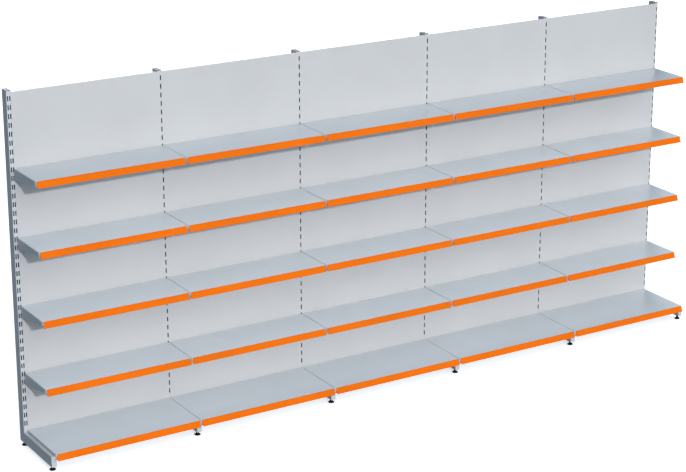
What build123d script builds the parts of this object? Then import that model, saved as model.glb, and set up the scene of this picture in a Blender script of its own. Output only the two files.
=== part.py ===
"""Single-sided gondola shelving run: five bays between six slotted uprights.

Each bay carries four adjustable shelves and one deeper base shelf. A shelf is a folded
steel tray standing between two cantilever brackets, which hook into the uprights, with a
sloping plastic price rail along its front. Base legs and levelling feet stand the run on
the floor. Units are millimetres, +Z is up, +X runs along the shelves and -Y faces the
shopper. The origin is the centre of the footprint, on the floor.
"""

import os

from build123d import *

os.makedirs("parts", exist_ok=True)

# ---- Driving dimensions -------------------------------------------------------------
BAYS = 5
BAY_PITCH = 900.0
SHELF_LEVELS = (452.0, 852.0, 1252.0, 1652.0)  # deck tops of levels 1 to 4
BASE_LEVEL = 102.0  # deck top of the base shelves
SHELF_DEPTH = 298.0  # upright face to tray front
BASE_DEPTH = 398.0
SHEET = 1.0  # tray sheet thickness

POST_WIDTH = 30.0
POST_DEPTH = 60.0
POST_WALL = 1.5
POST_CORNER = 2.5
POST_TOP = 2086.0
FRAME_BOTTOM = 24.0  # underside of uprights and legs, held up by the feet

SLOT_PITCH = 50.0
SLOT_WIDTH = 6.4
SLOT_HEIGHT = 28.0
SLOT_ROWS = 39
SLOT_LOWEST = 145.0
SLOT_OFFSET = 6.0  # from the upright's centre line to each slot column
LEVEL_TO_SLOT = 7.0  # a deck stands this far above the slot that its bracket uses

CAP_PLATE = 4.0
CAP_SKIRT = 18.0
CAP_WALL = 2.0

LEG_HEIGHT = 64.0
LEG_LENGTH = 388.0
LEG_WALL = 1.5
LEG_SLOT_HEIGHT = 16.0
LEG_SLOT_LEVELS = (44.0, 70.0)  # middles of the two rows of slots that hold the leg
LEG_HOOK_NECK = 7.0
LEG_HOOK_DROP = 7.0

FOOT_PAD_RADIUS = 18.0
FOOT_PAD_HEIGHT = 5.0
FOOT_CONE_TOP = 11.0
FOOT_NECK_RADIUS = 9.0
FOOT_NECK_TOP = 17.0
SPINDLE_RADIUS = 4.75
THREAD_RADIUS = 5.0
BUSH_RADIUS = 9.0
BUSH_HEIGHT = 12.0
SPINDLE_TOP = 60.0
FRONT_FOOT_SETBACK = 26.0  # from the leg's front end

PANEL_TOP = 2081.0
PANEL_BOTTOM = 92.0
PANEL_SHEET = 1.2
PANEL_LIP = 3.7  # half of the gap between neighbouring panels
PANEL_FLANGE = 12.0

BAR_HEIGHT = 40.0
BAR_DEPTH = 25.0
BAR_WALL = 1.5
BAR_LEVELS = (190.0, 1120.0, 2030.0)
BAR_SETBACK = 14.0  # from the uprights' front face
BAR_TAB_WIDTH = 16.0
BAR_TAB_REACH = 8.0
BAR_TAB_THICKNESS = 3.0

BLADE = 2.0  # bracket plate thickness
BLADE_GAP = 0.3  # from a bay's boundary to its bracket
BLADE_TOP = 2.0  # from the deck's top down to the plate's edges
BLADE_BACK = 69.0
BLADE_FRONT = 26.0
BLADE_CORNER = 5.0
BLADE_REACH = 290.0
BLADE_TAPER_END = 250.0
BRACKET_LIP = 12.0
BRACKET_LIP_ENDS = (20.0, 278.0)
HOOK_NECK = 12.0
HOOK_DROP = 10.0
HOOK_THICKNESS = 4.0
HOOK_PLAY = 0.2

TRAY_PLAY = 0.7  # from tray to bracket plate
TRAY_BACK_GAP = 2.2  # from tray to the uprights' front face
TRAY_SIDE = 20.0
TRAY_FRONT = 35.0
TRAY_RETURN = 9.0
TRAY_HEM = 6.0
STIFFENER_WIDTH = 50.0
STIFFENER_DEPTH = 14.0
STIFFENER_INSET = 16.0  # from the tray's ends, clear of the brackets' lips
BASE_TRAY_GAP = 1.5  # from a bay's boundary to its base tray
BASE_FRONT_NOTCH = 5.5  # from a base tray's end to its front flange
BASE_RETURN = 7.0

RAIL_INSET = 7.0  # from a bay's boundary to the rail's end
RAIL_WALL = 1.4
RAIL_LAND = 2.0  # flat top edge of the rail
RAIL_DROP = 35.6
RAIL_SLOPE_REACH = 15.4
RAIL_BACK_HEIGHT = 30.0

# ---- Positions that follow from them ------------------------------------------------
FRONT_REACH = BASE_DEPTH + RAIL_LAND + RAIL_SLOPE_REACH  # upright face to foremost edge
FACE_Y = (FRONT_REACH - POST_DEPTH) / 2  # the uprights' front face
POST_XS = [(i - BAYS / 2) * BAY_PITCH for i in range(BAYS + 1)]
BAY_STARTS = [x + SLOT_OFFSET for x in POST_XS[:-1]]  # boundaries lie on the slots used
SLOT_LEVELS = [SLOT_LOWEST + row * SLOT_PITCH for row in range(SLOT_ROWS)]
LEG_TOP = FRAME_BOTTOM + LEG_HEIGHT
LEG_FRONT_Y = FACE_Y - LEG_LENGTH
FOOT_YS = {"front": LEG_FRONT_Y + FRONT_FOOT_SETBACK, "rear": FACE_Y + POST_DEPTH / 2}
BAR_X_PLAY = 0.5
HANGING = (Align.MIN, Align.MAX)  # a rectangle drawn back and down from its corner


def side_plane(x, y, z):
    """A sketch plane seen along +X: its x runs to the back (+Y) and its y runs up."""
    return Plane(origin=(x, y, z), x_dir=(0, 1, 0), z_dir=(1, 0, 0))


def front_plane(y):
    """A sketch plane seen from behind: x runs along -X, y runs up, extruded towards +Y."""
    return Plane(origin=(0, y, 0), x_dir=(-1, 0, 0), z_dir=(0, 1, 0))


def save(piece, name):
    """Label a finished piece and write its STEP file."""
    piece.part.label = name
    export_step(piece.part, f"parts/{name}.step")


# ---- Uprights: closed rectangular tubes, slotted in front ---------------------------
with BuildPart() as uprights:
    with BuildSketch(Plane.XY.offset(FRAME_BOTTOM)):
        with Locations(*[(x, FACE_Y + POST_DEPTH / 2) for x in POST_XS]):
            RectangleRounded(POST_WIDTH, POST_DEPTH, POST_CORNER)
    extrude(amount=POST_TOP - FRAME_BOTTOM)
    with BuildSketch(Plane.XY.offset(FRAME_BOTTOM + 2 * POST_WALL)):
        with Locations(*[(x, FACE_Y + POST_DEPTH / 2) for x in POST_XS]):
            RectangleRounded(
                POST_WIDTH - 2 * POST_WALL, POST_DEPTH - 2 * POST_WALL, POST_CORNER - POST_WALL
            )
    extrude(amount=POST_TOP, mode=Mode.SUBTRACT)
    # threaded bush for the rear foot, welded inside the tube's end plate
    with BuildSketch(Plane.XY.offset(FRAME_BOTTOM)):
        with Locations(*[(x, FOOT_YS["rear"]) for x in POST_XS]):
            Circle(BUSH_RADIUS)
    extrude(amount=BUSH_HEIGHT)
    with BuildSketch(Plane.XY.offset(FRAME_BOTTOM)):
        with Locations(*[(x, FOOT_YS["rear"]) for x in POST_XS]):
            Circle(THREAD_RADIUS)
    extrude(amount=BUSH_HEIGHT, mode=Mode.SUBTRACT)
    # two columns of bracket slots, and the shorter ones that hold the base leg
    with BuildSketch(front_plane(FACE_Y)):
        for x in POST_XS:
            for column in (-SLOT_OFFSET, SLOT_OFFSET):
                with Locations(*[(-(x + column), z) for z in SLOT_LEVELS]):
                    Rectangle(SLOT_WIDTH, SLOT_HEIGHT)
                with Locations(*[(-(x + column), z) for z in LEG_SLOT_LEVELS]):
                    Rectangle(SLOT_WIDTH, LEG_SLOT_HEIGHT)
    extrude(amount=POST_WALL, mode=Mode.SUBTRACT)
    # side slots that take the crossbars' tabs, none on the two outer faces
    for left, right in zip(POST_XS[:-1], POST_XS[1:]):
        for wall in (left + POST_WIDTH / 2 - POST_WALL, right - POST_WIDTH / 2):
            with BuildSketch(side_plane(wall, FACE_Y + BAR_SETBACK, 0)):
                with Locations(*[(BAR_DEPTH / 2, z) for z in BAR_LEVELS]):
                    Rectangle(BAR_TAB_WIDTH, BAR_TAB_THICKNESS)
            extrude(amount=POST_WALL, mode=Mode.SUBTRACT)
save(uprights, "uprights")

# ---- Caps: moulded plugs that close the uprights' open tops --------------------------
with BuildPart() as upright_caps:
    with BuildSketch(Plane.XY.offset(POST_TOP)):
        with Locations(*[(x, FACE_Y + POST_DEPTH / 2) for x in POST_XS]):
            RectangleRounded(POST_WIDTH, POST_DEPTH, POST_CORNER)
    extrude(amount=CAP_PLATE)
    chamfer(upright_caps.faces().sort_by(Axis.Z)[-len(POST_XS):].edges(), 1.0)
    skirt = (POST_WIDTH - 2 * POST_WALL - 1.0, POST_DEPTH - 2 * POST_WALL - 1.0)
    with BuildSketch(Plane.XY.offset(POST_TOP)):
        with Locations(*[(x, FACE_Y + POST_DEPTH / 2) for x in POST_XS]):
            Rectangle(*skirt)
            Rectangle(skirt[0] - 2 * CAP_WALL, skirt[1] - 2 * CAP_WALL, mode=Mode.SUBTRACT)
    extrude(amount=-CAP_SKIRT)
save(upright_caps, "upright_caps")


def hook(start, bottom, neck, drop):
    """Sketch a hook whose neck passes through a slot and whose tip drops behind the wall."""
    behind = POST_WALL + HOOK_PLAY
    with Locations((start, bottom)):
        Rectangle(behind + HOOK_THICKNESS - start, neck, align=(Align.MIN, Align.MIN))
    with Locations((behind, bottom)):
        Rectangle(HOOK_THICKNESS, drop, align=HANGING)


# ---- Base legs: tubes with a closed front, hooked into the foot of each upright ------
with BuildPart() as base_legs:
    with BuildSketch(front_plane(LEG_FRONT_Y)):
        with Locations(*[(-x, FRAME_BOTTOM + LEG_HEIGHT / 2) for x in POST_XS]):
            RectangleRounded(POST_WIDTH, LEG_HEIGHT, POST_CORNER)
    extrude(amount=LEG_LENGTH)
    with BuildSketch(front_plane(LEG_FRONT_Y + LEG_WALL)):
        with Locations(*[(-x, FRAME_BOTTOM + LEG_HEIGHT / 2) for x in POST_XS]):
            RectangleRounded(
                POST_WIDTH - 2 * LEG_WALL, LEG_HEIGHT - 2 * LEG_WALL, POST_CORNER - LEG_WALL
            )
    extrude(amount=LEG_LENGTH - 2 * LEG_WALL, mode=Mode.SUBTRACT)
    with BuildSketch(Plane.XY.offset(FRAME_BOTTOM)):
        with Locations(*[(x, FOOT_YS["front"]) for x in POST_XS]):
            Circle(BUSH_RADIUS)
    extrude(amount=BUSH_HEIGHT)
    with BuildSketch(Plane.XY.offset(FRAME_BOTTOM)):
        with Locations(*[(x, FOOT_YS["front"]) for x in POST_XS]):
            Circle(THREAD_RADIUS)
    extrude(amount=BUSH_HEIGHT, mode=Mode.SUBTRACT)
    for x in POST_XS:
        for column in (-SLOT_OFFSET, SLOT_OFFSET):
            with BuildSketch(side_plane(x + column - BLADE / 2, FACE_Y, 0)):
                for level in LEG_SLOT_LEVELS:
                    hook(0, level - LEG_SLOT_HEIGHT / 2, LEG_HOOK_NECK, LEG_HOOK_DROP)
            extrude(amount=BLADE)
save(base_legs, "base_legs")

# ---- Crossbars: channels that tie neighbouring uprights together ---------------------
with BuildPart() as crossbars:
    for left, right in zip(POST_XS[:-1], POST_XS[1:]):
        start = left + POST_WIDTH / 2 + BAR_X_PLAY
        length = BAY_PITCH - POST_WIDTH - 2 * BAR_X_PLAY
        for level in BAR_LEVELS:
            with BuildSketch(side_plane(start, FACE_Y + BAR_SETBACK, level)):
                Rectangle(BAR_DEPTH, BAR_HEIGHT, align=(Align.MIN, Align.CENTER))
                with Locations((BAR_WALL, 0)):
                    Rectangle(
                        BAR_DEPTH,
                        BAR_HEIGHT - 2 * BAR_WALL,
                        align=(Align.MIN, Align.CENTER),
                        mode=Mode.SUBTRACT,
                    )
            extrude(amount=length)
            # end plates that close the channel, and a tab on each into the upright
            for end in (start, start + length - BAR_WALL):
                with BuildSketch(side_plane(end, FACE_Y + BAR_SETBACK, level)):
                    Rectangle(BAR_DEPTH, BAR_HEIGHT, align=(Align.MIN, Align.CENTER))
                extrude(amount=BAR_WALL)
            with BuildSketch(
                side_plane(start - BAR_TAB_REACH, FACE_Y + BAR_SETBACK + BAR_DEPTH / 2, level)
            ):
                Rectangle(BAR_TAB_WIDTH - 1.0, BAR_TAB_THICKNESS - 0.6)
            extrude(amount=BAR_TAB_REACH)
            with BuildSketch(
                side_plane(start + length, FACE_Y + BAR_SETBACK + BAR_DEPTH / 2, level)
            ):
                Rectangle(BAR_TAB_WIDTH - 1.0, BAR_TAB_THICKNESS - 0.6)
            extrude(amount=BAR_TAB_REACH)
save(crossbars, "crossbars")

# ---- Back panels: flat sheets stiffened by a folded frame between the uprights -------
with BuildPart() as back_panels:
    panel_height = PANEL_TOP - PANEL_BOTTOM
    panel_middle = (PANEL_TOP + PANEL_BOTTOM) / 2
    panel_length = BAY_PITCH - 2 * PANEL_LIP
    frame_length = BAY_PITCH - POST_WIDTH - 2 * BAR_X_PLAY
    with BuildSketch(front_plane(FACE_Y - PANEL_SHEET)):
        with Locations(*[(-(start + BAY_PITCH / 2), panel_middle) for start in BAY_STARTS]):
            Rectangle(panel_length, panel_height)
    extrude(amount=PANEL_SHEET)
    with BuildSketch(front_plane(FACE_Y)):
        with Locations(*[(-(x + BAY_PITCH / 2), panel_middle) for x in POST_XS[:-1]]):
            Rectangle(frame_length, panel_height)
            Rectangle(
                frame_length - 2 * PANEL_SHEET, panel_height - 2 * PANEL_SHEET, mode=Mode.SUBTRACT
            )
    extrude(amount=PANEL_FLANGE)
    # two hooks behind each panel drop over the top crossbar's front wall
    hook_level = BAR_LEVELS[-1] + BAR_HEIGHT / 2
    for left in POST_XS[:-1]:
        for along in (0.25, 0.75):
            with BuildSketch(side_plane(left + along * BAY_PITCH - 10, FACE_Y, hook_level)):
                with Locations((0, HOOK_PLAY)):
                    Rectangle(BAR_SETBACK + 4 * BAR_WALL, PANEL_SHEET, align=(Align.MIN, Align.MIN))
            extrude(amount=20)
save(back_panels, "back_panels")

# ---- Shelf brackets: tapering plates with hooks behind and a lip under the tray ------
with BuildPart() as shelf_brackets:
    for start in BAY_STARTS:
        for deck in SHELF_LEVELS:
            slot = deck - LEVEL_TO_SLOT
            left_blade = start + BLADE_GAP
            right_blade = start + BAY_PITCH - BLADE_GAP - BLADE
            for blade_x, lip_x in (
                (left_blade, left_blade),
                (right_blade, right_blade + BLADE - BRACKET_LIP),
            ):
                with BuildSketch(side_plane(blade_x, FACE_Y, deck)) as blade:
                    with BuildLine():
                        Polyline(
                            (-HOOK_PLAY, -BLADE_TOP),
                            (-HOOK_PLAY, -BLADE_BACK),
                            (-BLADE, -BLADE_BACK),
                            (-BLADE_TAPER_END, -BLADE_FRONT),
                            (-BLADE_REACH, -BLADE_FRONT),
                            (-BLADE_REACH, -BLADE_TOP),
                            close=True,
                        )
                    make_face()
                    fillet(blade.vertices().sort_by(Axis.X)[:2], BLADE_CORNER)
                    for row in (slot, slot - SLOT_PITCH):
                        hook(-HOOK_PLAY, row - SLOT_HEIGHT / 2 - deck, HOOK_NECK, HOOK_DROP)
                extrude(amount=BLADE)
                lip_back, lip_front = BRACKET_LIP_ENDS
                with BuildSketch(side_plane(lip_x, FACE_Y - lip_back, deck - TRAY_SIDE)):
                    Rectangle(lip_front - lip_back, BLADE, align=(Align.MAX, Align.MAX))
                extrude(amount=BRACKET_LIP)
save(shelf_brackets, "shelf_brackets")


def folded_tray(x, length, deck, depth, side_height, front_return, front_notch=0.0):
    """Sketch and extrude one folded tray inside the builder that is open."""
    front = FACE_Y - depth
    run = depth - TRAY_BACK_GAP
    with BuildSketch(side_plane(x, front, deck)) as top_and_back:
        Rectangle(run, SHEET, align=HANGING)
        with Locations((run, 0)):
            Rectangle(SHEET, side_height, align=(Align.MAX, Align.MAX))
    extrude(top_and_back.sketch, amount=length)
    with BuildSketch(side_plane(x + front_notch, front, deck)) as front_fold:
        Rectangle(SHEET, TRAY_FRONT, align=HANGING)
        with Locations((0, SHEET - TRAY_FRONT)):
            Rectangle(front_return, SHEET, align=HANGING)
        with Locations((front_return, -TRAY_FRONT)):
            Rectangle(SHEET, TRAY_HEM, align=(Align.MAX, Align.MIN))
    extrude(front_fold.sketch, amount=length - 2 * front_notch)
    for side in (x, x + length - SHEET):
        with BuildSketch(side_plane(side, front, deck)) as flange:
            Rectangle(run, side_height, align=HANGING)
        extrude(flange.sketch, amount=SHEET)
    # channel stiffener welded under the middle of the deck
    with BuildSketch(side_plane(x + STIFFENER_INSET, front, deck)) as channel:
        with Locations((run / 2, 0)):
            Rectangle(STIFFENER_WIDTH, STIFFENER_DEPTH, align=(Align.CENTER, Align.MAX))
            Rectangle(
                STIFFENER_WIDTH - 2 * SHEET,
                STIFFENER_DEPTH - SHEET,
                align=(Align.CENTER, Align.MAX),
                mode=Mode.SUBTRACT,
            )
            Rectangle(STIFFENER_WIDTH, SHEET, align=(Align.CENTER, Align.MAX))
    extrude(channel.sketch, amount=length - 2 * STIFFENER_INSET)


def price_rail(x, length, deck, depth):
    """Sketch and extrude one price rail: back plate, sloping face and two label grips."""
    slope = Vector(-RAIL_SLOPE_REACH, -RAIL_DROP).normalized()  # down the face
    outward = Vector(slope.Y, -slope.X)  # square to the face, away from the tray
    top = Vector(-RAIL_LAND, 0)
    low = Vector(-RAIL_LAND - RAIL_SLOPE_REACH, -RAIL_DROP)
    inner_top = top - outward * RAIL_WALL
    inner_low = low - outward * RAIL_WALL
    throat = inner_top - slope * ((inner_top.X + RAIL_WALL) / slope.X)
    with BuildSketch(side_plane(x, FACE_Y - depth, deck)) as profile:
        with BuildLine():
            Polyline(
                (0, 0),
                (top.X, top.Y),
                (low.X, low.Y),
                (inner_low.X, inner_low.Y),
                (throat.X, throat.Y),
                (-RAIL_WALL, -RAIL_BACK_HEIGHT),
                (0, -RAIL_BACK_HEIGHT),
                close=True,
            )
        make_face()
    extrude(profile.sketch, amount=length)


# ---- Base shelves --------------------------------------------------------------------
with BuildPart() as base_trays:
    for start in BAY_STARTS:
        folded_tray(
            start + BASE_TRAY_GAP,
            BAY_PITCH - 2 * BASE_TRAY_GAP,
            BASE_LEVEL,
            BASE_DEPTH,
            BASE_LEVEL - LEG_TOP,
            BASE_RETURN,
            BASE_FRONT_NOTCH,
        )
save(base_trays, "base_trays")

with BuildPart() as base_price_rails:
    for start in BAY_STARTS:
        price_rail(start + RAIL_INSET, BAY_PITCH - 2 * RAIL_INSET, BASE_LEVEL, BASE_DEPTH)
save(base_price_rails, "base_price_rails")

# ---- Adjustable shelves, level 1 lowest, bay 1 at the -X end --------------------------
for level, deck in enumerate(SHELF_LEVELS, start=1):
    for bay, start in enumerate(BAY_STARTS, start=1):
        tray_inset = BLADE_GAP + BLADE + TRAY_PLAY
        with BuildPart() as shelf_tray:
            folded_tray(
                start + tray_inset,
                BAY_PITCH - 2 * tray_inset,
                deck,
                SHELF_DEPTH,
                TRAY_SIDE,
                TRAY_RETURN,
            )
        save(shelf_tray, f"shelf_tray_{level}_{bay}")
        with BuildPart() as rail:
            price_rail(start + RAIL_INSET, BAY_PITCH - 2 * RAIL_INSET, deck, SHELF_DEPTH)
        save(rail, f"price_rail_{level}_{bay}")

# ---- Levelling feet: a moulded pad on a threaded spindle, two under each upright ------
for number, x in enumerate(POST_XS, start=1):
    for place, y in FOOT_YS.items():
        with BuildPart() as foot:
            with BuildSketch(Plane(origin=(x, y, 0), x_dir=(1, 0, 0), z_dir=(0, -1, 0))):
                with BuildLine():
                    Polyline(
                        (0, 0),
                        (FOOT_PAD_RADIUS, 0),
                        (FOOT_PAD_RADIUS, FOOT_PAD_HEIGHT),
                        (FOOT_NECK_RADIUS, FOOT_CONE_TOP),
                        (FOOT_NECK_RADIUS, FOOT_NECK_TOP),
                        (SPINDLE_RADIUS, FOOT_NECK_TOP),
                        (SPINDLE_RADIUS, SPINDLE_TOP),
                        (0, SPINDLE_TOP),
                        close=True,
                    )
                make_face()
            revolve(axis=Axis((x, y, 0), (0, 0, 1)))
        save(foot, f"{place}_foot_{number}")
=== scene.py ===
"""Looks of a gondola shelving run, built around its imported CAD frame.

Metres, in the CAD's own frame: +X along the shelves, -Y towards the shopper, +Z up.
Folded trays, price rails, upright caps and levelling feet are remade here with their
real bends, lips and threads. Uprights, legs, panels, brackets and crossbars are the
CAD nodes with procedural materials.
"""

import math

import bmesh
import bpy
from mathutils import Matrix, Vector


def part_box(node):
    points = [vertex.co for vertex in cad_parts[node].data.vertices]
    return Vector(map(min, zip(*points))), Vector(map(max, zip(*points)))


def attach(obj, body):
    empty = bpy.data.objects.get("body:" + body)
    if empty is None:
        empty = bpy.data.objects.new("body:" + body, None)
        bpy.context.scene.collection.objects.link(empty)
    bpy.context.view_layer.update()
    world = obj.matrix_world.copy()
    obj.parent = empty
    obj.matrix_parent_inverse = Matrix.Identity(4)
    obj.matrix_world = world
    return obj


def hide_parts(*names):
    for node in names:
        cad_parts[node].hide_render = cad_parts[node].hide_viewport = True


MM = 0.001

# ---- Trays ---------------------------------------------------------------------------
SHEET = 1.0 * MM  # thickness
BEND = 2.0 * MM  # outside radius of a fold
BEND_STEPS = 4
TRAY_SIDE = 20 * MM  # height of the side flanges
TRAY_RETURN = 9 * MM  # depth of the fold under the front flange
BASE_SIDE = 14 * MM
BASE_RETURN = 7 * MM
HEM = 6 * MM  # the return's upward edge
CORNER_RELIEF = 2.5 * MM  # cut away where two folds meet
STIFFENER_WIDTH, STIFFENER_DEPTH = 50 * MM, 14 * MM
STIFFENER_INSET = 16 * MM  # from each end of a tray
BASE_TRAY_SEAM = 3.0 * MM  # between neighbouring base trays
BASE_FRONT_NOTCH = 5.5 * MM  # from each end of a base tray's front flange

# ---- Price rails ---------------------------------------------------------------------
RAIL_LAND = 2.0 * MM  # flat top, from back to front
RAIL_WEB = 1.2 * MM  # thickness
RAIL_DROP = 35.6 * MM  # height of the sloping front
RAIL_LIP = 0.6 * MM  # thickness of a label grip, and the gap behind it
RAIL_LIP_REACH = 3.2 * MM
RAIL_BACK = 30 * MM  # height of the back leg

# ---- Feet ----------------------------------------------------------------------------
PAD_RADIUS = 18 * MM
PAD_HEIGHT = 5 * MM
PAD_EDGE = 1.2 * MM  # radius of its rounded edges
PAD_STEPS = 48
NECK_LOW = 11 * MM
NECK_TOP = 17 * MM
NECK_RADIUS = 8.9 * MM
THREAD_RADIUS = 4.75 * MM
THREAD_ROOT = 4.05 * MM
THREAD_PITCH = 1.5 * MM
THREAD_STEPS = 20  # in each turn
DISC_DEPTH = 1.2 * MM  # of the discs that close the thread
SPINDLE_TOP = 60 * MM
SPINDLE_SMOOTH = 25  # degrees: keeps the thread's crests sharp
ROUND_SHARE = 0.3  # a rounded edge's middle point lies this share of its radius in

# ---- Uprights and their caps ---------------------------------------------------------
POST_WIDTH = 30 * MM
POST_SKIN = 0.4 * MM  # faces whose centres lie deeper than this get near-black bare steel, painted shade
CAP_PLATE = 4 * MM
CAP_CORNER = 2.5 * MM
CAP_ROUNDING = 1.2 * MM

# ---- Viewpoint -----------------------------------------------------------------------
CAMERA_PLACE = (-6.191, -9.835, 4.791)
CAMERA_TURN = (72.609, -0.388, -32.746)  # degrees
CAMERA_LENS = 105.92  # millimetres on a 36 mm sensor
CAMERA_SHIFT = (-0.0856, -0.0523)

# ---- Light ---------------------------------------------------------------------------
# Each sun's name, energy, colour, elevation, heading from straight in front (minus is
# from the left) and angular size; the last three in degrees.
SUNS = (
    ("key", 1.6, (1.0, 0.985, 0.965), 21.3, -9.0, 2.0),
    ("soft_box", 1.48, (0.92, 0.965, 1.0), 38.0, 25.0, 80.0),
    ("fill", 0.6, (0.84, 0.93, 1.0), 14.0, 30.0, 50.0),
    ("back_light", 2.0, (0.95, 0.98, 1.0), 28.0, 165.0, 30.0),
)
DECK_LIFT = ("deck_lift", 0.55, (0.97, 0.985, 1.0), 90.0, 0.0, 5.0)
SURROUND_COLOUR = (0.64, 0.82, 1.0, 1.0)
SURROUND_STRENGTH = 0.25

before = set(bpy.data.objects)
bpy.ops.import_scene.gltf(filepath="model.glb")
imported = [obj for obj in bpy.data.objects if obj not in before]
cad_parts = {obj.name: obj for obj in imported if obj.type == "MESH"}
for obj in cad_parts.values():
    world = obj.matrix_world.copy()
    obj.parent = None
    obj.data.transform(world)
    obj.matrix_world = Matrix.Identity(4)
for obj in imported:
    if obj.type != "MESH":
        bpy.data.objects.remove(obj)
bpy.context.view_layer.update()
LEVELS = range(1, 5)  # of adjustable shelves, from the lowest up
BAYS = range(1, 6)  # from the -X end
POSTS = range(1, 7)


# ======================================================================================
# Materials
# ======================================================================================

def new_material(name):
    """An empty node material: returns it, its node adder and its linker."""
    material = bpy.data.materials.new(name)
    material.use_nodes = True
    tree = material.node_tree
    tree.nodes.clear()
    return material, tree.nodes.new, tree.links.new


def noise(add, link, where, scale, detail=3.0, rough=0.55):
    """A noise texture of the given scale per metre, read in object coordinates."""
    texture = add("ShaderNodeTexNoise")
    texture.inputs["Scale"].default_value = scale
    texture.inputs["Detail"].default_value = detail
    texture.inputs["Roughness"].default_value = rough
    link(where, texture.inputs["Vector"])
    return texture.outputs["Fac"]


def ranged(add, link, value, low, high, from_low=0.3, from_high=0.7):
    """The value mapped to a new range."""
    node = add("ShaderNodeMapRange")
    node.inputs["From Min"].default_value = from_low
    node.inputs["From Max"].default_value = from_high
    node.inputs["To Min"].default_value = low
    node.inputs["To Max"].default_value = high
    link(value, node.inputs["Value"])
    return node.outputs["Result"]


def mixed(add, link, amount, colour_a, colour_b):
    """Two colours mixed by a value."""
    node = add("ShaderNodeMix")
    node.data_type = "RGBA"
    link(amount, node.inputs["Factor"])
    for socket, colour in ((node.inputs["A"], colour_a), (node.inputs["B"], colour_b)):
        if isinstance(colour, tuple):
            socket.default_value = (*colour, 1.0)
        else:
            link(colour, socket)
    return node.outputs["Result"]


def bumped(add, link, heights):
    """Bump nodes in a chain, one for each (height, distance in metres, strength)."""
    normal = None
    for height, distance, strength in heights:
        node = add("ShaderNodeBump")
        node.inputs["Distance"].default_value = distance
        node.inputs["Strength"].default_value = strength
        link(height, node.inputs["Height"])
        if normal is not None:
            link(normal, node.inputs["Normal"])
        normal = node.outputs["Normal"]
    return normal


def surfaced(add, link, tone, roughness, normal, uniform):
    """A material's shader and output; uniform holds the plain values of sockets."""
    shader = add("ShaderNodeBsdfPrincipled")
    link(tone, shader.inputs["Base Color"])
    link(roughness, shader.inputs["Roughness"])
    link(normal, shader.inputs["Normal"])
    for socket, value in uniform.items():
        shader.inputs[socket].default_value = value
    out = add("ShaderNodeOutputMaterial")
    link(shader.outputs["BSDF"], out.inputs["Surface"])


def coated_steel(name, colour, roughness, dust=0.03, peel=0.35):
    """Powder-coated sheet: fine orange peel, faint tone drift and a little dust."""
    material, add, link = new_material(name)
    where = add("ShaderNodeTexCoord").outputs["Object"]
    drift = noise(add, link, where, scale=2.3, detail=2.0)
    speck = noise(add, link, where, scale=1400.0, detail=2.0, rough=0.6)
    cloud = noise(add, link, where, scale=9.0, detail=5.0, rough=0.65)
    darker = tuple(0.955 * c for c in colour)
    dusty = tuple(c + dust * (0.8 - c) for c in colour)
    drifting = ranged(add, link, drift, 0.0, 1.0)
    clouding = ranged(add, link, cloud, 0.0, 0.3, from_low=0.42, from_high=0.75)
    specking = ranged(add, link, speck, 0.0, 0.2, from_low=0.55, from_high=0.8)
    tone = mixed(add, link, drifting, darker, colour)
    tone = mixed(add, link, clouding, tone, dusty)
    tone = mixed(add, link, specking, tone, darker)
    peel_height = noise(add, link, where, scale=620.0, detail=2.0, rough=0.5)
    wave_height = noise(add, link, where, scale=14.0, detail=1.0, rough=0.4)
    heights = ((wave_height, 0.0004, 0.05), (peel_height, 0.00012, peel))
    dulling = ranged(add, link, cloud, roughness - 0.02, roughness + 0.03)
    surfaced(add, link, tone, dulling, bumped(add, link, heights), {"IOR": 1.5})
    return material


def moulded_plastic(name, colour, roughness, specular=0.5, scuff=0.08):
    """Plastic with a fine grain and faint scuffs that dull and lighten it."""
    material, add, link = new_material(name)
    where = add("ShaderNodeTexCoord").outputs["Object"]
    scuffs = noise(add, link, where, scale=70.0, detail=6.0, rough=0.7)
    lighter = tuple(min(1.0, c + scuff * (0.6 - c)) for c in colour)
    scuffing = ranged(add, link, scuffs, 0.0, 1.0, from_low=0.5, from_high=0.8)
    tone = mixed(add, link, scuffing, colour, lighter)
    grain = noise(add, link, where, scale=500.0, detail=2.0)
    dulling = ranged(add, link, scuffs, roughness, roughness + 0.12)
    surfaced(add, link, tone, dulling, bumped(add, link, ((grain, 0.00006, 0.4),)),
             {"IOR": 1.49, "Specular IOR Level": specular})
    return material


def extruded_plastic(name, colour, roughness):
    """An extruded profile: hardly any shine, and faint draw lines along its length."""
    material, add, link = new_material(name)
    where = add("ShaderNodeTexCoord").outputs["Object"]
    stretch = add("ShaderNodeMapping")
    stretch.inputs["Scale"].default_value = (0.8, 260.0, 260.0)
    link(where, stretch.inputs["Vector"])
    lines = noise(add, link, stretch.outputs["Vector"], scale=3.0, rough=0.6)
    drift = noise(add, link, where, scale=3.0)
    deeper = tuple(0.9 * c for c in colour)
    tone = mixed(add, link, ranged(add, link, drift, 0.0, 1.0), deeper, colour)
    dulling = ranged(add, link, drift, roughness - 0.03, roughness + 0.06)
    surfaced(add, link, tone, dulling, bumped(add, link, ((lines, 0.00006, 0.35),)),
             {"IOR": 1.49, "Specular IOR Level": 0.05})
    return material


def plated_steel(name, colour, roughness):
    """Plated steel, bright or blackened, with a fine spangle."""
    material, add, link = new_material(name)
    where = add("ShaderNodeTexCoord").outputs["Object"]
    spangle = noise(add, link, where, scale=160.0, detail=4.0, rough=0.7)
    duller = tuple(0.8 * c for c in colour)
    tone = mixed(add, link, ranged(add, link, spangle, 0.0, 1.0), duller, colour)
    dulling = ranged(add, link, spangle, roughness, roughness + 0.15)
    surfaced(add, link, tone, dulling, bumped(add, link, ((spangle, 0.00005, 0.3),)),
             {"Metallic": 1.0})
    return material


COAT_GREY = (0.545, 0.537, 0.54)
POST_GREY = (0.56, 0.575, 0.60)
DECK_GREY = (0.55, 0.588, 0.62)
ORANGE = (0.80, 0.148, 0.0)

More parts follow.
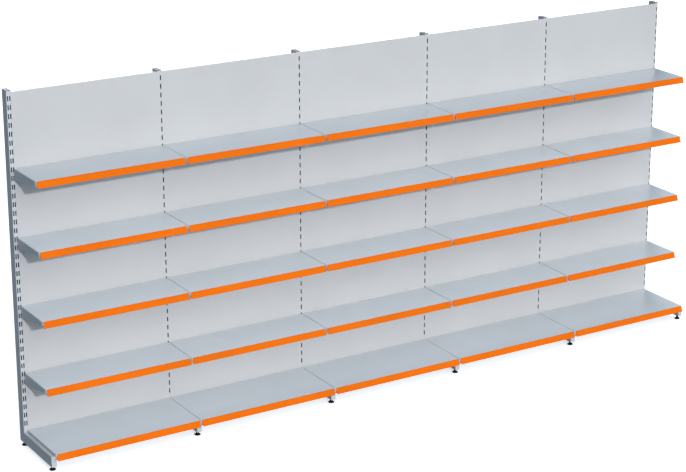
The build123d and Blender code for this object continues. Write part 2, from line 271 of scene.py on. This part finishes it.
panel_coat = coated_steel("panel_coat", COAT_GREY, 0.42)
post_coat = coated_steel("post_coat", POST_GREY, 0.38)
deck_coat = coated_steel("deck_coat", DECK_GREY, 0.16, dust=0.02, peel=0.06)
bracket_coat = coated_steel("bracket_coat", DECK_GREY, 0.36)
bar_zinc = plated_steel("bar_zinc", (0.62, 0.64, 0.66), 0.32)
spindle_black = plated_steel("spindle_black", (0.05, 0.05, 0.055), 0.4)
# near black: painted shade for the uprights' insides and slot walls, darker than bare
# steel
bare_steel_painted_shade = coated_steel("bare_steel_painted_shade", (0.02, 0.02, 0.021), 0.6)
rail_orange = extruded_plastic("rail_orange", ORANGE, 0.42)
# pale cream on the rails' cut ends: a painted highlight for their bright, edge-lit cut
# edges
rail_cut_painted_highlight = moulded_plastic("rail_cut_painted_highlight", (1.0, 0.86, 0.68), 0.55)
cap_plastic = moulded_plastic("cap_plastic", (0.19, 0.21, 0.24), 0.5)
foot_plastic = moulded_plastic("foot_plastic", (0.008, 0.008, 0.009), 0.5,
                               specular=0.2, scuff=0.02)


# ======================================================================================
# Mesh helpers
# ======================================================================================

def filleted(points, radius, closed=False):
    """The outline with each turn rounded; the radius is one number or one per point."""
    count = len(points)
    radii = radius if isinstance(radius, (list, tuple)) else [radius] * count
    out = []
    for i, here in enumerate(points):
        inner = closed or 0 < i < count - 1
        if not inner or radii[i] <= 0:
            out.append(Vector(here))
            continue
        here = Vector(here)
        back = (Vector(points[i - 1]) - here).normalized()
        onward = (Vector(points[(i + 1) % count]) - here).normalized()
        half = back.angle(onward) / 2
        reach = radii[i] / math.tan(half)
        centre = here + (back + onward).normalized() * (radii[i] / math.sin(half))
        start, end = here + back * reach - centre, here + onward * reach - centre
        turn = start.angle_signed(end)
        for step in range(BEND_STEPS + 1):
            spun = start.copy()
            spun.rotate(Matrix.Rotation(-turn * step / BEND_STEPS, 2))
            out.append(centre + spun)
    return out


def prism(bm, outline, place, low, high):
    """A closed bar from low to high with that 2-D outline; returns its two ends.

    place(u, v, w) turns the outline's two coordinates and the length into 3-D.
    """
    rings = [[bm.verts.new(place(p.x, p.y, w)) for p in outline] for w in (low, high)]
    count = len(outline)
    for i in range(count):
        j = (i + 1) % count
        bm.faces.new((rings[0][i], rings[0][j], rings[1][j], rings[1][i]))
    return [bm.faces.new(ring) for ring in rings]


def bent_sheet(path):
    """A folded sheet's closed outline; the path is its outer face, all square turns."""
    inner_path = []
    for i, here in enumerate(path):
        normals = []
        for a, b in ((i - 1, i), (i, i + 1)):
            if 0 <= a and b < len(path):
                along = (Vector(path[b]) - Vector(path[a])).normalized()
                normals.append(Vector((along.y, -along.x)))
        inner_path.append(Vector(here) + SHEET * sum(normals, Vector((0, 0))))
    return filleted(path, BEND) + filleted(inner_path, BEND - SHEET)[::-1]


def along_x(origin):
    """A placing function: u goes to +Y and v to +Z from the origin, length to X."""
    return lambda u, v, w: Vector((w, origin.y + u, origin.z + v))


def along_y(origin, side):
    """A placing function: u goes inwards from a tray's side, v to +Z, length to Y."""
    return lambda u, v, w: Vector((origin.x + side * u, w, origin.z + v))


def finished(bm, name, materials, smooth_angle=35):
    """The bmesh as an object in the scene, with smooth bends and crisp cut edges."""
    bmesh.ops.recalc_face_normals(bm, faces=bm.faces)
    mesh = bpy.data.meshes.new(name)
    bm.to_mesh(mesh)
    bm.free()
    for polygon in mesh.polygons:
        polygon.use_smooth = True
    mesh.set_sharp_from_angle(angle=math.radians(smooth_angle))
    for material in materials:
        mesh.materials.append(material)
    piece = bpy.data.objects.new(name, mesh)
    bpy.context.scene.collection.objects.link(piece)
    return piece


def lathe(bm, profile, centre, steps):
    """A closed turned shape from (radius, height) points; ends on the axis close it."""
    rings = []
    for radius, height in profile:
        if radius <= 0:
            rings.append([bm.verts.new(centre + Vector((0, 0, height)))])
            continue
        ring = []
        for step in range(steps):
            angle = math.tau * step / steps
            spot = Vector((radius * math.cos(angle), radius * math.sin(angle), height))
            ring.append(bm.verts.new(centre + spot))
        rings.append(ring)
    for lower, upper in zip(rings, rings[1:]):
        for step in range(steps):
            after = (step + 1) % steps
            corners = [lower[step % len(lower)], lower[after % len(lower)],
                       upper[after % len(upper)], upper[step % len(upper)]]
            unique = [v for i, v in enumerate(corners) if v not in corners[:i]]
            bm.faces.new(unique)


# ======================================================================================
# Trays
# ======================================================================================

def add_tray(bm, low, high, side_height, front_return, front_notch=0.0):
    """One folded tray between two corners of its CAD box, with its deck on top."""
    depth = high.y - low.y
    front_height = high.z - low.z
    origin = Vector((low.x, low.y, high.z))
    front = [(front_return, -front_height + HEM), (front_return, -front_height),
             (0, -front_height), (0, -CORNER_RELIEF)]
    prism(bm, bent_sheet(front), along_x(origin),
          low.x + front_notch, high.x - front_notch)
    deck = [(0, -CORNER_RELIEF), (0, 0), (depth, 0), (depth, -CORNER_RELIEF)]
    prism(bm, bent_sheet(deck), along_x(origin), low.x + BEND, high.x - BEND)
    back = [(depth, -CORNER_RELIEF), (depth, -side_height)]
    prism(bm, bent_sheet(back), along_x(origin), low.x, high.x)
    for corner, side in ((low.x, 1), (high.x, -1)):
        edge = Vector((corner, low.y, high.z))
        flange = [(0, -side_height), (0, 0), (BEND, 0)]
        prism(bm, bent_sheet(flange), along_y(edge, side),
              low.y + CORNER_RELIEF, high.y - CORNER_RELIEF)
    half = STIFFENER_WIDTH / 2
    channel = [(half, -SHEET), (half, -STIFFENER_DEPTH), (-half, -STIFFENER_DEPTH),
               (-half, -SHEET)]
    middle = Vector((0, (low.y + high.y) / 2, high.z))
    prism(bm, bent_sheet(channel), along_x(middle),
          low.x + STIFFENER_INSET, high.x - STIFFENER_INSET)


def shelf_trays(shaded):
    """The adjustable shelves' trays, one piece for each."""
    for level in LEVELS:
        for bay in BAYS:
            node = f"shelf_tray_{level}_{bay}"
            low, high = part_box(node)
            bm = bmesh.new()
            add_tray(bm, low, high, TRAY_SIDE, TRAY_RETURN)
            piece = finished(bm, f"folded_tray_{level}_{bay}", [deck_coat])
            if level < LEVELS[-1]:
                shaded.objects.link(piece)
            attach(piece, f"shelf_{level}_{bay}")
            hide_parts(node)


def base_shelf_trays(shaded):
    """The deeper trays that stand on the base legs."""
    low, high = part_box("base_trays")
    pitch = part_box("shelf_tray_1_2")[0].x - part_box("shelf_tray_1_1")[0].x
    for bay in BAYS:
        start = low.x + (bay - 1) * pitch
        bm = bmesh.new()
        add_tray(bm, Vector((start, low.y, low.z)),
                 Vector((start + pitch - BASE_TRAY_SEAM, high.y, high.z)),
                 BASE_SIDE, BASE_RETURN, BASE_FRONT_NOTCH)
        piece = finished(bm, f"base_folded_tray_{bay}", [deck_coat])
        shaded.objects.link(piece)
        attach(piece, "frame")
        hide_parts("base_trays")


# ======================================================================================
# Price rails
# ======================================================================================

def rail_outline(reach):
    """The rail's section: back leg, top land, sloping web and a lip along each edge."""
    top = Vector((-RAIL_LAND, 0))
    slope = Vector((RAIL_LAND - reach, -RAIL_DROP)).normalized()
    outward = Vector((slope.y, -slope.x))
    length = Vector((RAIL_LAND - reach, -RAIL_DROP)).length
    face, inner = -RAIL_WEB, -2 * RAIL_WEB  # the web's two faces, behind the lips

    def on(along, out):
        """A point so far down the slope from its top, and so far outwards."""
        return top + slope * along + outward * out

    throat = on(0, inner)  # moved to where the web's inner face meets the back leg
    throat -= slope * ((throat.x + RAIL_WEB) / slope.x)
    points = [Vector((0, 0)), top, on(RAIL_LIP_REACH, 0), on(RAIL_LIP_REACH, -RAIL_LIP),
              on(2 * RAIL_LIP, -RAIL_LIP), on(2 * RAIL_LIP, face),
              on(length - RAIL_LIP, face), on(length - RAIL_LIP, -RAIL_LIP),
              on(length - RAIL_LIP_REACH, -RAIL_LIP), on(length - RAIL_LIP_REACH, 0),
              on(length, 0), on(length, inner), throat,
              Vector((-RAIL_WEB, -RAIL_BACK)), Vector((0, -RAIL_BACK))]
    soft = 0.4 * RAIL_LIP
    radii = [0, RAIL_LAND / 2, soft, soft, 0, 0, 0, 0, soft, soft,
             RAIL_LIP, RAIL_LIP, 0, soft, soft]
    return filleted(points, radii, closed=True)


def add_rail(name, low, high, body, node):
    """One price rail along X between two corners of its CAD box."""
    bm = bmesh.new()
    outline = rail_outline(high.y - low.y)
    for end in prism(bm, outline, along_x(high), low.x, high.x):
        # the cut ends take the pale cream, a painted highlight
        end.material_index = 1
    piece = finished(bm, name, [rail_orange, rail_cut_painted_highlight])
    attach(piece, body)
    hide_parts(node)


def price_rails():
    """The rails on the shelves and on the base shelves."""
    for level in LEVELS:
        for bay in BAYS:
            node = f"price_rail_{level}_{bay}"
            name, body = f"label_rail_{level}_{bay}", f"shelf_{level}_{bay}"
            add_rail(name, *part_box(node), body, node)
    base_node = "base_price_rails"
    base_low, base_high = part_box(base_node)
    for bay in BAYS:
        low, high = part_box(f"price_rail_1_{bay}")
        low = Vector((low.x, base_low.y, base_low.z))
        high = Vector((high.x, base_high.y, base_high.z))
        add_rail(f"base_label_rail_{bay}", low, high, "frame", base_node)


# ======================================================================================
# Feet and caps
# ======================================================================================

def add_pad(bm, centre):
    """The foot's moulded pad: rounded disc, cone and hexagonal neck."""
    edge = PAD_EDGE
    soft = ROUND_SHARE * edge
    disc_and_cone = [
        (0, 0), (PAD_RADIUS - edge, 0), (PAD_RADIUS - soft, soft), (PAD_RADIUS, edge),
        (PAD_RADIUS, PAD_HEIGHT - edge), (PAD_RADIUS - soft, PAD_HEIGHT - soft),
        (PAD_RADIUS - edge, PAD_HEIGHT), (NECK_RADIUS + edge, NECK_LOW - edge),
        (0.95 * NECK_RADIUS, NECK_LOW), (0, NECK_LOW)]
    lathe(bm, disc_and_cone, centre, PAD_STEPS)
    hexagon = [
        (0, NECK_LOW - edge), (NECK_RADIUS, NECK_LOW - edge),
        (NECK_RADIUS, NECK_TOP - 0.4 * edge), (0.92 * NECK_RADIUS, NECK_TOP),
        (0, NECK_TOP)]
    lathe(bm, hexagon, centre, 6)


def add_thread(bm, centre):
    """The spindle: a metric thread as one helical ridge, with a disc at each end."""
    steps = THREAD_STEPS
    turns = int((SPINDLE_TOP - NECK_TOP) / THREAD_PITCH) - 1
    start = NECK_TOP - THREAD_PITCH / 2
    ridge = ((0.0, THREAD_ROOT), (0.3, THREAD_ROOT),  # share of the pitch, radius
             (0.55, THREAD_RADIUS), (0.7, THREAD_RADIUS))
    rows = []
    for step in range(turns * steps + 1):
        angle = math.tau * step / steps
        lift = start + THREAD_PITCH * step / steps
        spots = [Vector((radius * math.cos(angle), radius * math.sin(angle),
                         lift + share * THREAD_PITCH)) for share, radius in ridge]
        rows.append([bm.verts.new(centre + spot) for spot in spots])
    for lower, upper in zip(rows, rows[1:]):
        for a, b, c, d in zip(lower, upper, upper[1:], lower[1:]):
            bm.faces.new((a, b, c, d))
    turn_above = rows[steps:]
    for a, b, c, d in zip(rows, rows[1:], turn_above[1:], turn_above):
        bm.faces.new((a[-1], b[-1], c[0], d[0]))
    for top in (SPINDLE_TOP - 0.6 * MM, NECK_TOP - 0.5 * MM):
        low = top - DISC_DEPTH
        disc = [(0, low), (THREAD_ROOT, low), (THREAD_ROOT, top), (0, top)]
        lathe(bm, disc, centre, steps)


def levelling_feet():
    """A pad and a threaded spindle for each foot, riding together."""
    for number in POSTS:
        for place in ("front", "rear"):
            node = f"{place}_foot_{number}"
            low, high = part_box(node)
            centre = Vector(((low.x + high.x) / 2, (low.y + high.y) / 2, low.z))
            bm = bmesh.new()
            add_pad(bm, centre)
            pad = finished(bm, f"{place}_pad_{number}", [foot_plastic])
            bm = bmesh.new()
            add_thread(bm, centre)
            spindle = finished(bm, f"{place}_spindle_{number}", [spindle_black],
                               SPINDLE_SMOOTH)
            for piece, slot in ((pad, "foot_plastic"), (spindle, "zinc_steel")):
                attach(piece, node)
                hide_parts(node)


def upright_caps():
    """Moulded caps with rounded edges on top of the uprights."""
    low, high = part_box("upright_caps")
    pitch = (high.x - low.x - POST_WIDTH) / len(BAYS)
    soft = ROUND_SHARE * CAP_ROUNDING
    layers = ((0, 0), (0, CAP_PLATE - CAP_ROUNDING), (soft, CAP_PLATE - soft),
              (CAP_ROUNDING, CAP_PLATE))  # inset, height
    bm = bmesh.new()
    for number in POSTS:
        left = low.x + (number - 1) * pitch
        right = left + POST_WIDTH
        rings = []
        for inset, height in layers:
            box = [(left + inset, low.y + inset), (right - inset, low.y + inset),
                   (right - inset, high.y - inset), (left + inset, high.y - inset)]
            level = high.z - CAP_PLATE + height
            rings.append([bm.verts.new((p.x, p.y, level))
                          for p in filleted(box, CAP_CORNER, closed=True)])
        count = len(rings[0])
        for lower, upper in zip(rings, rings[1:]):
            for i in range(count):
                j = (i + 1) % count
                bm.faces.new((lower[i], lower[j], upper[j], upper[i]))
        bm.faces.new(rings[-1])
        bm.faces.new(rings[0][::-1])
    piece = finished(bm, "upright_end_caps", [cap_plastic])
    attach(piece, "frame")
    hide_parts("upright_caps")


# ======================================================================================
# CAD nodes that stay, with their materials
# ======================================================================================

def dress_frame():
    """Give the CAD nodes that stay visible their coatings."""
    looks = {"uprights": post_coat, "base_legs": post_coat, "back_panels": panel_coat,
             "shelf_brackets": bracket_coat, "crossbars": bar_zinc}
    for node, material in looks.items():
        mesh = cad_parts[node].data
        mesh.materials.clear()
        mesh.materials.append(material)


def tube_insides_painted_shade():
    """The uprights' insides and slot walls: bare steel, near black as painted shade."""
    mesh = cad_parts["uprights"].data
    # the near-black bare steel: painted shade inside the tubes and their slots
    mesh.materials.append(bare_steel_painted_shade)
    low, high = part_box("uprights")
    pitch = (high.x - low.x - POST_WIDTH) / len(BAYS)
    for polygon in mesh.polygons:
        spot = polygon.center
        across = (spot.x - low.x) % pitch
        within_x = POST_SKIN < across < POST_WIDTH - POST_SKIN
        if within_x and low.y + POST_SKIN < spot.y < high.y - POST_SKIN:
            polygon.material_index = 1


# ======================================================================================
# Floor, light and camera
# ======================================================================================

def floor():
    """A plain white floor that runs out of sight and is see-through from below."""
    reach = 60.0  # metres from the middle to each edge
    bm = bmesh.new()
    corners = ((-reach, -reach), (reach, -reach), (reach, reach), (-reach, reach))
    bm.faces.new([bm.verts.new((x, y, 0.0)) for x, y in corners])
    material, add, link = new_material("floor_paint")
    shader = add("ShaderNodeBsdfPrincipled")
    shader.inputs["Base Color"].default_value = (0.93, 0.93, 0.93, 1.0)
    shader.inputs["Roughness"].default_value = 0.8
    shader.inputs["Specular IOR Level"].default_value = 0.1
    shader.inputs["Emission Color"].default_value = (1.0, 1.0, 1.0, 1.0)
    shader.inputs["Emission Strength"].default_value = 0.55
    under, choice = add("ShaderNodeBsdfTransparent"), add("ShaderNodeMixShader")
    link(add("ShaderNodeNewGeometry").outputs["Backfacing"], choice.inputs["Fac"])
    link(shader.outputs["BSDF"], choice.inputs[1])
    link(under.outputs["BSDF"], choice.inputs[2])
    out = add("ShaderNodeOutputMaterial")
    link(choice.outputs["Shader"], out.inputs["Surface"])
    ground = finished(bm, "floor", [material])
    ground.visible_diffuse = False  # it casts no light and no reflection on the object
    ground.visible_glossy = False


def sun(name, energy, colour, elevation, heading, angle):
    """A sun lamp, from a row like those of SUNS."""
    data = bpy.data.lights.new(name, "SUN")
    data.energy = energy
    data.color = colour
    data.angle = math.radians(angle)
    item = bpy.data.objects.new(name, data)
    item.rotation_euler = (math.radians(90 - elevation), 0, math.radians(heading))
    bpy.context.scene.collection.objects.link(item)
    return item


def surround():
    """A backdrop that is white to the camera and lights the object weakly, in blue."""
    world = bpy.data.worlds.new("studio")
    bpy.context.scene.world = world
    world.use_nodes = True
    tree = world.node_tree
    tree.nodes.clear()
    add, link = tree.nodes.new, tree.links.new
    seen, cast = add("ShaderNodeBackground"), add("ShaderNodeBackground")
    seen.inputs["Color"].default_value = (1.0, 1.0, 1.0, 1.0)
    cast.inputs["Color"].default_value = SURROUND_COLOUR
    cast.inputs["Strength"].default_value = SURROUND_STRENGTH
    choice, out = add("ShaderNodeMixShader"), add("ShaderNodeOutputWorld")
    link(add("ShaderNodeLightPath").outputs["Is Camera Ray"], choice.inputs[0])
    link(cast.outputs[0], choice.inputs[1])
    link(seen.outputs[0], choice.inputs[2])
    link(choice.outputs[0], out.inputs["Surface"])


def lights(shaded):
    """The suns, and one straight from above that only the shaded decks receive."""
    for row in SUNS:
        sun(*row)
    lift = sun(*DECK_LIFT)
    lift.data.use_shadow = False  # evens out the decks that the shelves above shade
    lift.light_linking.receiver_collection = shaded


def camera():
    """A long lens, from the left and well above the top shelf."""
    data = bpy.data.cameras.new("camera")
    data.lens = CAMERA_LENS
    data.sensor_width = 36.0
    data.shift_x, data.shift_y = CAMERA_SHIFT
    data.clip_end = 200.0
    item = bpy.data.objects.new("camera", data)
    item.location = CAMERA_PLACE
    item.rotation_euler = [math.radians(a) for a in CAMERA_TURN]
    bpy.context.scene.collection.objects.link(item)
    bpy.context.scene.camera = item


shaded_decks = bpy.data.collections.new("shaded_decks")
shelf_trays(shaded_decks)
base_shelf_trays(shaded_decks)
price_rails()
levelling_feet()
upright_caps()
dress_frame()
tube_insides_painted_shade()
floor()
surround()
lights(shaded_decks)
camera()
bpy.context.scene.view_settings.view_transform = "Standard"
